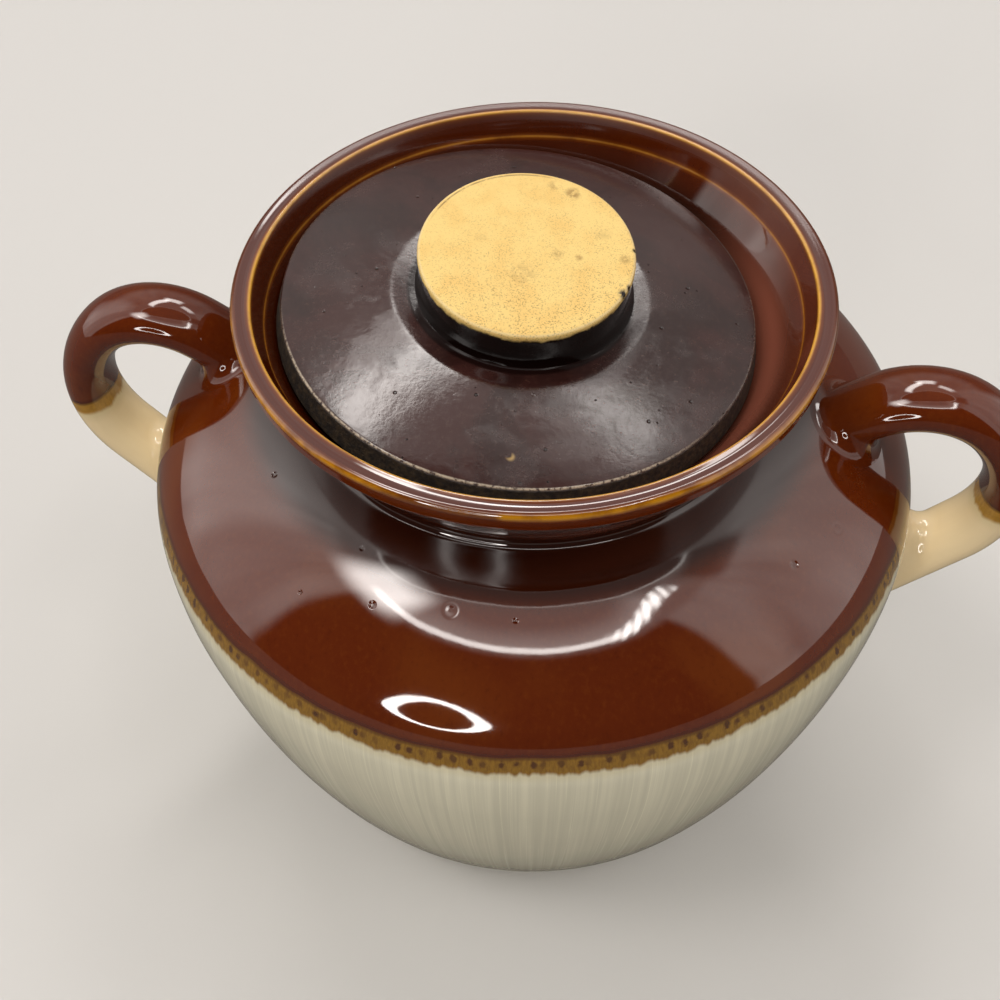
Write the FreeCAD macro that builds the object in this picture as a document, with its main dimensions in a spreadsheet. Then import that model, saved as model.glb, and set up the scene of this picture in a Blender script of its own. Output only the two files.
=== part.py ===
import FreeCAD, Part
import Sketcher
import math
import os
import re

# Stoneware bean pot with two ear handles and a loose inset lid.
# Millimetres, +Z up. The origin is the centre of the foot, on the surface the pot stands on.
# The handles lie along the X axis and the front of the pot looks along -Y.

SIZES = {
    # outside of the jar
    "rim_height": 175.0,
    "belly_radius": 99.8,
    "belly_height": 112.5,
    "bend_radius": 25.0,
    "bend_top": 130.0,
    "shoulder_curve": 64.0,
    "shoulder_top": 148.2,
    "neck_cove": 1.8,
    "collar_radius": 69.3,
    "collar_top": 168.6,
    "belly_curve": 130.0,
    "belly_bottom": 95.5,
    "wall_curve": 310.0,
    "wall_bottom": 26.0,
    "heel_curve": 60.0,
    "heel_bottom": 4.5,
    "foot_radius": 65.5,
    "foot_round": 1.5,
    "foot_inner_radius": 56.0,
    "foot_recess": 2.6,
    "foot_slope": 3.0,
    # lip, mouth and lid seat
    "lip_radius": 71.0,
    "lip_under_radius": 70.5,
    "lip_bottom": 169.8,
    "lip_round": 1.5,
    "lip_dish_curve": 3.6,
    "mouth_radius": 66.0,
    "mouth_round": 0.7,
    "seat_top": 168.4,
    "seat_centre_height": 203.6,
    "seat_curve": 72.9,
    "seat_bottom": 154.0,
    "throat_round": 4.0,
    "throat_radius": 50.0,
    "throat_top": 149.5,
    # inside of the jar
    "throat_under": 6.0,
    "cavity_radius": 92.3,
    "cavity_bend": 17.5,
    "cavity_bend_top": 124.7,
    "cavity_shoulder": 56.5,
    "cavity_shoulder_top": 141.0,
    "cavity_wall_curve": 180.0,
    "cavity_wall_bottom": 33.0,
    "cavity_heel": 40.0,
    "cavity_heel_bottom": 13.0,
    "floor_edge_radius": 40.0,
    "floor_height": 9.0,
    # handles
    "handle_root_radius": 70.0,
    "handle_root_height": 135.8,
    "handle_rise_angle": 35.5,
    "handle_rise_length": 19.0,
    "handle_top_bend": 21.0,
    "handle_top_turn": 79.0,
    "handle_side_bend": 30.0,
    "handle_side_turn": 86.0,
    "handle_return_length": 42.0,
    "handle_half_width": 9.4,
    "handle_half_thickness": 6.3,
    "handle_root_fillet": 5.0,
    "right_handle_angle": -0.45,
    "left_handle_angle": 180.45,
    # lid, measured up from its own underside
    "lid_seat_radius": 58.25,
    "lid_edge_radius": 57.0,
    "lid_edge_height": 7.0,
    "lid_edge_round": 0.7,
    "lid_recess": 2.5,
    "lid_recess_radius": 46.0,
    "lid_recess_slope": 4.0,
    "lid_crown_curve": 260.0,
    "lid_ridge_radius": 28.4,
    "lid_ridge_height": 11.2,
    "lid_land_radius": 26.8,
    "lid_land_height": 10.5,
    "lid_seat_centre": 43.6,
    "lid_lean_front": 1.08,
    "lid_lean_right": 4.97,
    # knob, measured up from the land on the lid that it stands on
    "knob_sink": 3.2,
    "knob_base_radius": 26.4,
    "knob_cove": 9.0,
    "knob_waist_radius": 25.0,
    "knob_waist_height": 4.4,
    "knob_top_radius": 25.1,
    "knob_height": 13.4,
    "knob_round": 1.1,
    "knob_lean_front": 5.24,
    "knob_lean_left": 0.86,
}

doc = FreeCAD.newDocument("BeanPot")
sheet = doc.addObject("Spreadsheet::Sheet", "Sizes")
for row, (alias, number) in enumerate(SIZES.items(), start=1):
    sheet.set("A%d" % row, alias)
    sheet.set("B%d" % row, str(number))
    sheet.setAlias("B%d" % row, alias)
doc.recompute()


def size(alias):
    return float(sheet.get(alias))


def bound(formula):
    """The formula with each size name pointed at the sheet."""
    return re.sub(r"[a-z_]{2,}", lambda name: "Sizes." + name.group(0), formula)


def vector(x, y):
    return FreeCAD.Vector(x, y, 0)


def origin_plane(body, role):
    return next(plane for plane in body.Origin.OriginFeatures if plane.Role == role)


def new_body(label):
    body = doc.addObject("PartDesign::Body", label)
    body.Label = label
    return body


def new_sketch(body, name, plane):
    sketch = body.newObject("Sketcher::SketchObject", name)
    sketch.AttachmentSupport = [(origin_plane(body, plane), "")]
    sketch.MapMode = "FlatFace"
    return sketch


class Outline:
    """A closed sketch of half a turned piece: x is the radius and y the height.

    It is drawn segment by segment from the last point, and every end, radius and tangency
    is a constraint that the sheet drives.
    """

    def __init__(self, body, name):
        self.body = body
        self.sketch = new_sketch(body, name, "YZ_Plane")

    def value(self, formula):
        return float(self.sketch.evalExpression(bound(formula)))

    def bind(self, kind, places, formula):
        constraint = Sketcher.Constraint(kind, *places, self.value(formula))
        index = self.sketch.addConstraint(constraint)
        self.sketch.setExpression("Constraints[%d]" % index, bound(formula))

    def tie(self, kind, *places):
        self.sketch.addConstraint(Sketcher.Constraint(kind, *places))

    def place(self, end, x_formula, y_formula):
        """Bind a point; an x formula of None puts it on the axis and leaves that free of a size."""
        if x_formula is None:
            self.tie("PointOnObject", *end, -2)
        else:
            self.bind("DistanceX", (-1, 1, *end), x_formula)
        self.bind("DistanceY", (-1, 1, *end), y_formula)

    def start(self, x_formula, y_formula, heading, join=None):
        """Begin a chain. A join is the end of an earlier segment that it shares."""
        self.point = vector(self.value(x_formula) if x_formula else 0, self.value(y_formula))
        self.heading = math.radians(heading)
        self.end = join
        self.start_formulas = (x_formula, y_formula)

    def _attach(self, first, tangent=False):
        if self.end is None:
            self.place(first, *self.start_formulas)
        else:
            self.tie("Tangent" if tangent else "Coincident", *self.end, *first)

    def line_to(self, x_formula, y_formula):
        """A straight line to a bound point."""
        goal = vector(self.value(x_formula) if x_formula else 0, self.value(y_formula))
        line = self.sketch.addGeometry(Part.LineSegment(self.point, goal), False)
        self._attach((line, 1))
        self.place((line, 2), x_formula, y_formula)
        self.heading = math.atan2(goal.y - self.point.y, goal.x - self.point.x)
        self.point = goal
        self.end = (line, 2)

    def _add_arc(self, centre, radius, goal, turn):
        begin = math.atan2(self.point.y - centre.y, self.point.x - centre.x)
        finish = math.atan2(goal.y - centre.y, goal.x - centre.x)
        low, high = (begin, finish) if turn > 0 else (finish, begin)
        if high < low:
            high += 2 * math.pi
        circle = Part.Circle(centre, FreeCAD.Vector(0, 0, 1), radius)
        arc = self.sketch.addGeometry(Part.ArcOfCircle(circle, low, high), False)
        first, last = ((arc, 1), (arc, 2)) if turn > 0 else ((arc, 2), (arc, 1))
        self.heading = finish + turn * math.pi / 2
        self.point = goal
        return arc, first, last

    def smooth_arc(self, radius_formula, height_formula, turn, level=False):
        """An arc that leaves along the heading and ends at a height.

        turn is 1 for a left bend and -1 for a right one. level marks an arc that starts
        upright, where its centre lies level with its first point.
        """
        radius = self.value(radius_formula)
        height = self.value(height_formula)
        side = self.heading + turn * math.pi / 2
        centre = self.point + vector(radius * math.cos(side), radius * math.sin(side))
        rise = height - centre.y
        reach = math.sqrt(radius * radius - rise * rise)
        begin = math.atan2(self.point.y - centre.y, self.point.x - centre.x)
        goals = [vector(centre.x + reach, height), vector(centre.x - reach, height)]
        sweep = [(turn * (math.atan2(rise, goal.x - centre.x) - begin)) % (2 * math.pi) for goal in goals]
        goal = goals[sweep.index(min(sweep))]
        arc, first, last = self._add_arc(centre, radius, goal, turn)
        self._attach(first, tangent=not level)
        if level:
            self.tie("Horizontal", arc, 3, *first)
        self.bind("Radius", (arc,), radius_formula)
        self.bind("DistanceY", (-1, 1, *last), height_formula)
        self.end = last

    def cove_then_line_to(self, radius_formula, x_formula, y_formula, turn):
        """A tangent arc, then the straight line that leaves it smoothly for a bound point."""
        radius = self.value(radius_formula)
        goal = vector(self.value(x_formula), self.value(y_formula))
        side = self.heading + turn * math.pi / 2
        centre = self.point + vector(radius * math.cos(side), radius * math.sin(side))
        away = goal - centre
        swing = math.acos(radius / away.Length)
        angle = math.atan2(away.y, away.x) - turn * swing
        leave = centre + vector(radius * math.cos(angle), radius * math.sin(angle))
        arc, first, last = self._add_arc(centre, radius, leave, turn)
        self._attach(first, tangent=True)
        self.bind("Radius", (arc,), radius_formula)
        line = self.sketch.addGeometry(Part.LineSegment(leave, goal), False)
        self.tie("Tangent", *last, line, 1)
        self.place((line, 2), x_formula, y_formula)
        self.heading = math.atan2(goal.y - leave.y, goal.x - leave.x)
        self.point = goal
        self.end = (line, 2)

    def arc_to(self, radius_formula, x_formula, y_formula, turn, join=None):
        """A plain arc of a given radius to a bound point, or to an end already placed there."""
        radius = self.value(radius_formula)
        goal = vector(self.value(x_formula), self.value(y_formula))
        chord = goal - self.point
        depth = math.sqrt(radius * radius - chord.Length ** 2 / 4)
        across = vector(-chord.y, chord.x)
        across.normalize()
        centre = self.point + chord * 0.5 + across * (turn * depth)
        arc, first, last = self._add_arc(centre, radius, goal, turn)
        self._attach(first)
        self.bind("Radius", (arc,), radius_formula)
        if join:
            self.tie("Coincident", *last, *join)
        else:
            self.place(last, x_formula, y_formula)
        self.end = last

    def seat_arc(self, radius_formula, centre_formula, top_formula, bottom_formula):
        """A cove whose centre lies on the axis, from one height down to another."""
        radius = self.value(radius_formula)
        centre = vector(0, self.value(centre_formula))
        top = self.value(top_formula)
        bottom = self.value(bottom_formula)
        begin = vector(math.sqrt(radius ** 2 - (top - centre.y) ** 2), top)
        goal = vector(math.sqrt(radius ** 2 - (bottom - centre.y) ** 2), bottom)
        line = self.sketch.addGeometry(Part.LineSegment(self.point, begin), False)
        self._attach((line, 1))
        self.point = begin
        arc, first, last = self._add_arc(centre, radius, goal, -1)
        self.tie("Coincident", line, 2, *first)
        self.bind("Radius", (arc,), radius_formula)
        self.place((arc, 3), None, centre_formula)
        self.bind("DistanceY", (-1, 1, *first), top_formula)
        self.bind("DistanceY", (-1, 1, *last), bottom_formula)
        self.end = last

    def close(self, join):
        """The last straight line, back to an end that is already placed."""
        goal = self.sketch.getPoint(*join)
        line = self.sketch.addGeometry(Part.LineSegment(self.point, goal), False)
        self.tie("Coincident", *self.end, line, 1)
        self.tie("Coincident", line, 2, *join)

    def revolve(self, name):
        turned = self.body.newObject("PartDesign::Revolution", name)
        turned.Profile = self.sketch
        turned.ReferenceAxis = (self.sketch, ["V_Axis"])
        turned.Angle = 360.0
        self.body.Tip = turned
        doc.recompute()
        return turned


# ---- jar --------------------------------------------------------------------------------

def draw_outside(outline):
    """Shoulder, neck and collar upwards from the widest point, as far as the lip's underside."""
    outline.start("belly_radius", "belly_height", 90)
    outline.smooth_arc("bend_radius", "bend_top", 1, level=True)
    outline.smooth_arc("shoulder_curve", "shoulder_top", 1)
    outline.cove_then_line_to("neck_cove", "collar_radius", "collar_top", -1)
    outline.line_to("lip_under_radius", "lip_bottom")
    outline.line_to("lip_radius", "rim_height - lip_round")
    outline.arc_to("lip_round", "lip_radius - lip_round", "rim_height", 1)


def draw_foot(outline):
    """Belly, wall, heel and foot ring downwards from the widest point, as far as the axis."""
    outline.start("belly_radius", "belly_height", -90, join=(0, 1))
    outline.smooth_arc("belly_curve", "belly_bottom", -1, level=True)
    outline.smooth_arc("wall_curve", "wall_bottom", -1)
    outline.smooth_arc("heel_curve", "heel_bottom", -1)
    outline.line_to("foot_radius", "heel_bottom - foot_round")
    outline.line_to("foot_radius", "foot_round")
    outline.arc_to("foot_round", "foot_radius - foot_round", "0", -1)
    outline.line_to("foot_inner_radius", "0")
    outline.line_to("foot_inner_radius - foot_slope", "foot_recess")
    outline.line_to(None, "foot_recess")


def draw_mouth(outline, throat_end):
    """Lip, mouth and lid seat, inwards and down to the throat's upper end."""
    outline.arc_to("lip_dish_curve", "mouth_radius + mouth_round", "rim_height", -1)
    outline.arc_to("mouth_round", "mouth_radius", "rim_height - mouth_round", 1)
    outline.seat_arc("seat_curve", "seat_centre_height", "seat_top", "seat_bottom")
    outline.arc_to("throat_round", "throat_radius", "throat_top", 1, join=throat_end)


def draw_cavity(outline):
    """The inside upwards from its widest point to the throat. Returns its two ends."""
    outline.start("cavity_radius", "belly_height", 90)
    outline.smooth_arc("cavity_bend", "cavity_bend_top", 1, level=True)
    widest = (outline.end[0], 1)
    outline.smooth_arc("cavity_shoulder", "cavity_shoulder_top", 1)
    outline.cove_then_line_to("throat_under", "throat_radius", "throat_top", -1)
    return widest, outline.end


def draw_floor(outline, widest):
    """The inside downwards from its widest point to the floor on the axis."""
    outline.start("cavity_radius", "belly_height", -90, join=widest)
    outline.smooth_arc("cavity_wall_curve", "cavity_wall_bottom", -1, level=True)
    outline.smooth_arc("cavity_heel", "cavity_heel_bottom", -1)
    outline.line_to("floor_edge_radius", "floor_height")
    outline.line_to(None, "floor_height")
    return outline.end


def make_jar():
    body = new_body("pot_body")
    outline = Outline(body, "JarOutline")
    draw_outside(outline)
    lip_end, lip_point, lip_heading = outline.end, outline.point, outline.heading
    draw_foot(outline)
    underside = outline.end
    widest, throat_end = draw_cavity(outline)
    floor_centre = draw_floor(outline, widest)
    outline.close(underside)
    outline.end, outline.point, outline.heading = lip_end, lip_point, lip_heading
    draw_mouth(outline, throat_end)
    outline.revolve("JarTurned")
    return body


def make_jar_blank():
    """The jar's outside as one solid: what the handles are luted on and trimmed to."""
    body = new_body("JarBlank")
    outline = Outline(body, "BlankOutline")
    draw_outside(outline)
    outline.line_to(None, "rim_height")
    blank_top = outline.end
    draw_foot(outline)
    outline.close(blank_top)
    outline.revolve("BlankTurned")
    return body


# ---- handles ----------------------------------------------------------------------------

def draw_handle_path(path):
    """Rise from the shoulder, bend over, bend back in, and return into the belly."""
    reach = vector(size("handle_root_radius"), size("handle_root_height"))
    heading = math.radians(size("handle_rise_angle"))

    def straight(length):
        finish = reach + vector(length * math.cos(heading), length * math.sin(heading))
        return path.addGeometry(Part.LineSegment(reach, finish), False), finish

    def bend(radius, turn):
        begin = heading + math.pi / 2
        centre = reach - vector(radius * math.cos(begin), radius * math.sin(begin))
        finish = centre + vector(radius * math.cos(begin - turn), radius * math.sin(begin - turn))
        circle = Part.Circle(centre, FreeCAD.Vector(0, 0, 1), radius)
        return path.addGeometry(Part.ArcOfCircle(circle, begin - turn, begin), False), finish

    rise, reach = straight(size("handle_rise_length"))
    top_turn = math.radians(size("handle_top_turn"))
    top, reach = bend(size("handle_top_bend"), top_turn)
    heading -= top_turn
    side_turn = math.radians(size("handle_side_turn"))
    side, reach = bend(size("handle_side_bend"), side_turn)
    heading -= side_turn
    back, reach = straight(size("handle_return_length"))

    for join in ((rise, 2, top, 2), (top, 1, side, 2), (side, 1, back, 1)):
        path.addConstraint(Sketcher.Constraint("Tangent", *join))
    drives = [
        ("DistanceX", (-1, 1, rise, 1), "handle_root_radius"),
        ("DistanceY", (-1, 1, rise, 1), "handle_root_height"),
        ("Angle", (rise,), "handle_rise_angle"),
        ("Distance", (rise,), "handle_rise_length"),
        ("Radius", (top,), "handle_top_bend"),
        ("Angle", (top,), "handle_top_turn"),
        ("Radius", (side,), "handle_side_bend"),
        ("Angle", (side,), "handle_side_turn"),
        ("Distance", (back,), "handle_return_length"),
    ]
    for kind, places, alias in drives:
        is_angle = kind == "Angle"
        number = math.radians(size(alias)) if is_angle else size(alias)
        index = path.addConstraint(Sketcher.Constraint(kind, *places, number))
        path.setExpression("Constraints[%d]" % index, bound(alias) + (" * 1 deg" if is_angle else ""))


def draw_handle_section(section):
    """An oval, wide across the handle and thin along its plane."""
    wide = vector(size("handle_half_width"), 0)
    thin = vector(0, size("handle_half_thickness"))
    oval = section.addGeometry(Part.Ellipse(wide, thin, vector(0, 0)), False)
    section.exposeInternalGeometry(oval)
    major, minor = oval + 1, oval + 2
    section.addConstraint(Sketcher.Constraint("Coincident", oval, 3, -1, 1))
    section.addConstraint(Sketcher.Constraint("Horizontal", major))
    for axis, alias in ((major, "handle_half_width"), (minor, "handle_half_thickness")):
        index = section.addConstraint(Sketcher.Constraint("Distance", axis, 2 * size(alias)))
        section.setExpression("Constraints[%d]" % index, "2 * " + bound(alias))


def make_handle_loop():
    """A pulled strip of oval section, which runs into the jar at both ends."""
    body = new_body("HandleLoop")
    path = new_sketch(body, "HandlePath", "XZ_Plane")
    draw_handle_path(path)
    section = body.newObject("Sketcher::SketchObject", "HandleSection")
    section.AttachmentSupport = [(path, "Edge1")]
    section.MapMode = "NormalToEdge"
    draw_handle_section(section)
    doc.recompute()
    pulled = body.newObject("PartDesign::AdditivePipe", "HandlePulled")
    pulled.Profile = section
    pulled.Spine = (path, ["Edge1", "Edge2", "Edge3", "Edge4"])
    body.Tip = pulled
    doc.recompute()
    return body


def shared_edges(fused, first, second, touch=0.001):
    """The numbers of the fused shape's edges where the two solids' skins meet."""
    numbers = []
    for number, edge in enumerate(fused.Shape.Edges, start=1):
        middle = Part.Vertex(edge.valueAt((edge.FirstParameter + edge.LastParameter) / 2))
        gaps = [solid.Shape.Shells[0].distToShape(middle)[0] for solid in (first, second)]
        if max(gaps) < touch:
            numbers.append(number)
    return numbers


def make_handles(blank):
    """The loop luted on the jar with filleted roots, trimmed to the jar's skin, placed twice."""
    loop = make_handle_loop()
    luted = doc.addObject("Part::Fuse", "JarWithHandle")
    luted.Base = blank
    luted.Tool = loop
    doc.recompute()
    roots = doc.addObject("Part::Fillet", "HandleRoots")
    roots.Base = luted
    fillet = size("handle_root_fillet")
    roots.Edges = [(number, fillet, fillet) for number in shared_edges(luted, blank, loop)]
    handles = []
    for label in ("right_handle", "left_handle"):
        handle = doc.addObject("Part::Cut", label)
        handle.Label = label
        handle.Base = roots
        handle.Tool = blank
        turned = FreeCAD.Rotation(FreeCAD.Vector(0, 0, 1), size(label + "_angle"))
        handle.Placement = FreeCAD.Placement(FreeCAD.Vector(0, 0, 0), turned)
        handles.append(handle)
    doc.recompute()
    return handles


# ---- lid and knob -----------------------------------------------------------------------

def lean(front, right):
    """A rotation that lowers the front and the right side by these angles."""
    across = FreeCAD.Rotation(FreeCAD.Vector(0, 1, 0), right)
    return across.multiply(FreeCAD.Rotation(FreeCAD.Vector(1, 0, 0), front))


def lid_placement():
    """The lid rolled in its coved seat: it turns about the centre of the seat's curve."""
    centre = FreeCAD.Vector(0, 0, size("seat_centre_height"))
    own_centre = FreeCAD.Vector(0, 0, size("lid_seat_centre"))
    turned = lean(size("lid_lean_front"), size("lid_lean_right"))
    return FreeCAD.Placement(centre - turned.multVec(own_centre), turned)


def make_lid():
    body = new_body("lid")
    outline = Outline(body, "LidOutline")
    outline.start(None, "lid_recess", 0)
    outline.line_to("lid_recess_radius", "lid_recess")
    underside = (outline.end[0], 1)
    outline.line_to("lid_recess_radius + lid_recess_slope", "0")
    outline.line_to("lid_seat_radius - lid_edge_round", "0")
    outline.arc_to("lid_edge_round", "lid_seat_radius", "lid_edge_round", 1)
    outline.line_to("lid_edge_radius", "lid_edge_height - lid_edge_round")
    outline.arc_to("lid_edge_round", "lid_edge_radius - lid_edge_round", "lid_edge_height", 1)
    outline.arc_to("lid_crown_curve", "lid_ridge_radius", "lid_ridge_height", 1)
    outline.line_to("lid_land_radius", "lid_land_height")
    outline.line_to(None, "lid_land_height")
    outline.close(underside)
    outline.revolve("LidTurned")
    body.Placement = lid_placement()
    return body


def make_knob(lid):
    """The flared knob, stuck on a little askew and trimmed to the lid under it."""
    body = new_body("KnobBlank")
    outline = Outline(body, "KnobOutline")
    outline.start(None, "0 - knob_sink", 0)
    outline.line_to("knob_base_radius", "0 - knob_sink")
    underside = (outline.end[0], 1)
    outline.line_to("knob_base_radius", "0")
    outline.arc_to("knob_cove", "knob_waist_radius", "knob_waist_height", -1)
    outline.line_to("knob_top_radius", "knob_height - knob_round")
    outline.arc_to("knob_round", "knob_top_radius - knob_round", "knob_height", 1)
    outline.line_to(None, "knob_height")
    outline.close(underside)
    outline.revolve("KnobTurned")
    land = lid.Placement.multVec(FreeCAD.Vector(0, 0, size("lid_land_height")))
    front = size("lid_lean_front") + size("knob_lean_front")
    right = size("lid_lean_right") - size("knob_lean_left")
    body.Placement = FreeCAD.Placement(land, lean(front, right))
    knob = doc.addObject("Part::Cut", "lid_knob")
    knob.Label = "lid_knob"
    knob.Base = body
    knob.Tool = lid
    doc.recompute()
    return knob


# ---- build, check and write -------------------------------------------------------------

def check(parts):
    """Stop if any object failed, or any sub-part isn't one valid solid."""
    failed = [thing.Name for thing in doc.Objects if {"Invalid", "Error"} & set(thing.State)]
    if failed:
        raise RuntimeError("failed objects: " + ", ".join(failed))
    for part in parts:
        shape = part.Shape
        if shape.isNull() or not shape.isValid() or len(shape.Solids) != 1:
            raise RuntimeError(part.Label + " isn't one valid solid")


def write(parts):
    os.makedirs("parts", exist_ok=True)
    for part in parts:
        part.Shape.exportStep("parts/%s.step" % part.Label)
        box = part.Shape.optimalBoundingBox()
        print("%-13s %8.1f cm3  z %6.1f to %6.1f" % (part.Label, part.Shape.Volume / 1000, box.ZMin, box.ZMax))


jar = make_jar()
handles = make_handles(make_jar_blank())
lid = make_lid()
knob = make_knob(lid)
doc.recompute()
pieces = [jar, *handles, lid, knob]
check(pieces)
write(pieces)
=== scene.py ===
import math

import bmesh
import bpy
import numpy as np
from mathutils import Euler, Matrix, Vector, noise


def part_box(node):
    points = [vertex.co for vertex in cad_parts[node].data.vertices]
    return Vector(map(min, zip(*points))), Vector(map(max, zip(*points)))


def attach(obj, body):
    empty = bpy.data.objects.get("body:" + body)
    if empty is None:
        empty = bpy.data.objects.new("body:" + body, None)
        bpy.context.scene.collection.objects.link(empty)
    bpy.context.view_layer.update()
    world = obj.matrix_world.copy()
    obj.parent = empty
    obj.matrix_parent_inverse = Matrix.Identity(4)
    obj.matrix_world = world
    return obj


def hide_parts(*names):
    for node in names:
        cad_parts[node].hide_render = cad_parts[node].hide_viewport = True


# Glazed stoneware bean pot: jar, two ear handles, and a loose lid with its knob.
# The row's frame is in metres. Turned profiles are written in millimetres, as a potter would.

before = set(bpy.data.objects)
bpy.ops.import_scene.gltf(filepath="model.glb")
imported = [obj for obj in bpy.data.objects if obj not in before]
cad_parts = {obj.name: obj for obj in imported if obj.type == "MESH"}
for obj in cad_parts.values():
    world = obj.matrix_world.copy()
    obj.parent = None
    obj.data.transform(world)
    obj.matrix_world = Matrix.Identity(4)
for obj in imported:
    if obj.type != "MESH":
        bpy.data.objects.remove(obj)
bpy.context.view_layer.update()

MM = 0.001


def mm(*lengths):
    """Lengths in millimetres as metres, which the shader nodes use."""
    return [length * MM for length in lengths]


# ---- sizes of the turned pieces, in millimetres and degrees ----------------------------------

RIM_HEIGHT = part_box("pot_body")[1].z / MM
FOOT_RADIUS = 65.5
FOOT_RECESS = 2.6           # how far the underside is cut back inside the foot ring
BELLY_RADIUS = 99.8
BELLY_HEIGHT = 112.5        # where the belly is widest
INSIDE_RADIUS = 92.3        # of the hollow, at the same height
LIP_RADIUS = 71.0
LIP_ROUND = 1.5             # of the lip's outer arris
LIP_INNER_RADIUS = 66.0
LIP_INNER_ROUND = 0.7
SEAT_RADIUS = 72.9          # of the sphere that the coved seat is part of
SEAT_CENTRE_HEIGHT = 203.6  # the sphere's centre, which the lid rolls about
SEAT_TOP = 168.4
SEAT_BOTTOM = 154.0
THROAT_RADIUS = 50.0
THROAT_HEIGHT = 149.5

LID_SEAT_CENTRE = 43.6      # the seat's centre above the lid's own underside
LID_RADIUS = 58.25
LID_EDGE_HEIGHT = 7.0
LID_LAND_HEIGHT = 10.5      # where the knob stands on the lid
LID_LEAN_FRONT = 1.08
LID_LEAN_RIGHT = 4.97

KNOB_RADIUS = 25.3
KNOB_FOOT_RADIUS = 26.4
KNOB_HEIGHT = 13.4
KNOB_SUNK = 2.2             # how far its foot goes down into the lid
KNOB_ROUND = 1.1            # of the arris round its flat top
KNOB_SHIFT = (0.5, 0.5)     # to the right and back from the middle of the lid
KNOB_LEAN_FRONT = 5.24      # further than the lid
KNOB_LEAN_LEFT = 0.86

HANDLE_ROOT_RADIUS = 88.0   # from the pot's axis to the middle of a handle's roots, seen from above


# ---- turned profiles -------------------------------------------------------------------------

class Profile:
    """Half a turned piece, walked from point to point: x is the radius, y the height."""

    STEP = 0.1

    def __init__(self, x, y, heading=0.0):
        self.points = [(x, y)]
        self.heading = math.radians(heading)

    def line(self, x, y):
        x0, y0 = self.points[-1]
        count = max(1, round(math.hypot(x - x0, y - y0) / self.STEP))
        for i in range(1, count + 1):
            self.points.append((x0 + (x - x0) * i / count, y0 + (y - y0) * i / count))
        self.heading = math.atan2(y - y0, x - x0)
        return self

    def _sweep(self, cx, cy, radius, begin, turned, turn):
        count = max(2, round(radius * turned / self.STEP))
        for i in range(1, count + 1):
            angle = begin + turn * turned * i / count
            self.points.append((cx + radius * math.cos(angle), cy + radius * math.sin(angle)))
        self.heading = begin + turn * (turned + math.pi / 2)
        return self

    def _centre(self, radius, turn):
        x, y = self.points[-1]
        side = self.heading + turn * math.pi / 2
        return x + radius * math.cos(side), y + radius * math.sin(side), side + math.pi

    def smooth(self, radius, height, turn):
        """A tangent arc that ends at a height. turn is 1 for left and -1 for right."""
        cx, cy, begin = self._centre(radius, turn)
        lift = math.asin((height - cy) / radius)
        turned = min((turn * (angle - begin)) % math.tau for angle in (lift, math.pi - lift))
        return self._sweep(cx, cy, radius, begin, turned, turn)

    def bend(self, radius, degrees, turn):
        """A tangent arc through an angle."""
        cx, cy, begin = self._centre(radius, turn)
        return self._sweep(cx, cy, radius, begin, math.radians(degrees), turn)

    def cove_then_line(self, radius, x, y, turn):
        """A tangent arc, then the straight line that leaves it smoothly for a point."""
        cx, cy, begin = self._centre(radius, turn)
        away = math.hypot(x - cx, y - cy)
        angle = math.atan2(y - cy, x - cx) - turn * math.acos(radius / away)
        self._sweep(cx, cy, radius, begin, (turn * (angle - begin)) % math.tau, turn)
        return self.line(x, y)

    def arc(self, radius, x, y, turn):
        """A plain arc of a given radius to a point."""
        x0, y0 = self.points[-1]
        dx, dy = x - x0, y - y0
        chord = math.hypot(dx, dy)
        depth = turn * math.sqrt(radius * radius - chord * chord / 4)
        cx, cy = (x0 + x) / 2 - dy / chord * depth, (y0 + y) / 2 + dx / chord * depth
        begin = math.atan2(y0 - cy, x0 - cx)
        finish = math.atan2(y - cy, x - cx)
        return self._sweep(cx, cy, radius, begin, (turn * (finish - begin)) % math.tau, turn)

    def settled(self, melt=0.28, finest_bend=2.5, longest_run=1.6):
        """The points with corners melted as a glaze melts them, thinned where the line is straight.

        A point is kept where the line has bent by finest_bend degrees or run on for longest_run.
        """
        raw = np.array(self.points)
        keep = np.r_[True, np.hypot(*np.diff(raw, axis=0).T) > 1e-6]
        raw = raw[keep]
        reach = int(4 * melt / self.STEP)
        weights = np.exp(-0.5 * (np.arange(-reach, reach + 1) * self.STEP / melt) ** 2)
        weights /= weights.sum()
        before = 2 * raw[0] - raw[reach:0:-1]
        after = 2 * raw[-1] - raw[-2:-reach - 2:-1]
        padded = np.vstack([before, raw, after])
        soft = np.column_stack([np.convolve(padded[:, k], weights, "valid") for k in (0, 1)])
        soft[0], soft[-1] = raw[0], raw[-1]
        steps = np.diff(soft, axis=0)
        headings = np.unwrap(np.arctan2(steps[:, 1], steps[:, 0]))
        lengths = np.hypot(steps[:, 0], steps[:, 1])
        kept, bent, run = [0], 0.0, 0.0
        for i in range(1, len(soft) - 1):
            bent += abs(headings[i] - headings[i - 1])
            run += lengths[i - 1]
            if bent > math.radians(finest_bend) or run > longest_run:
                kept.append(i)
                bent = run = 0.0
        kept.append(len(soft) - 1)
        return soft[kept]


def seat_radius(height):
    """How far the coved seat is from the axis at a height."""
    return math.sqrt(SEAT_RADIUS ** 2 - (height - SEAT_CENTRE_HEIGHT) ** 2)


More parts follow.
